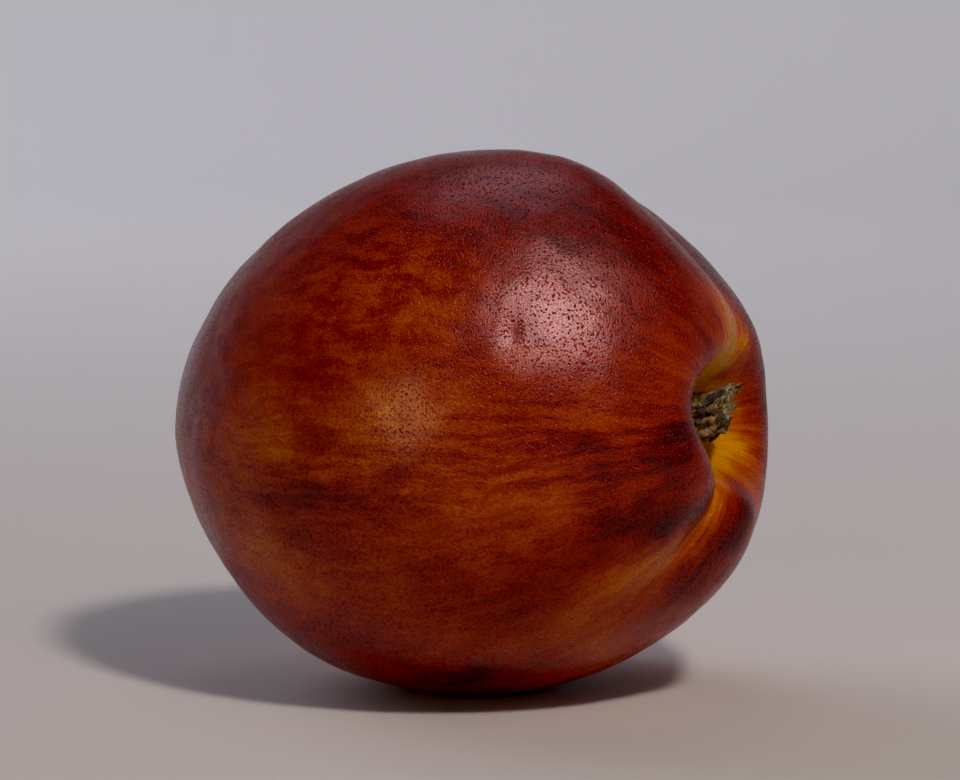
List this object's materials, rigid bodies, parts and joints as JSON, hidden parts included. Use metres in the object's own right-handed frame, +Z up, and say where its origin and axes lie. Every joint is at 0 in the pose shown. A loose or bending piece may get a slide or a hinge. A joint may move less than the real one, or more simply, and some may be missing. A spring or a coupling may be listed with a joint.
{
  "type": "nectarine",
  "caption": "Ripe smooth-skinned nectarine lying on its cheek, with a shallow seam, a stem hollow, a low tip and the dry stub of its stalk.",
  "frame": {"origin": "on the surface that the fruit rests on, straight below the fruit's centre, in the middle of its rest spot", "axes": "+X towards the stem end, which is the fruit's long way, -X towards its tip; +Z up; the seam runs along the top, rolled 13 degrees towards +Y"},
  "size_m": [0.0755, 0.0673, 0.066],
  "materials": {
    "nectarine_skin": "smooth, satin gloss, dark red over orange-yellow in streaks along the fruit, with fine pores",
    "dry_stalk_wood": "matt, rough, cracked and knobbly"
  },
  "bodies": {
    "root": {"fruit": "nectarine_skin", "stem_stub": "dry_stalk_wood"}
  },
  "joints": []
}
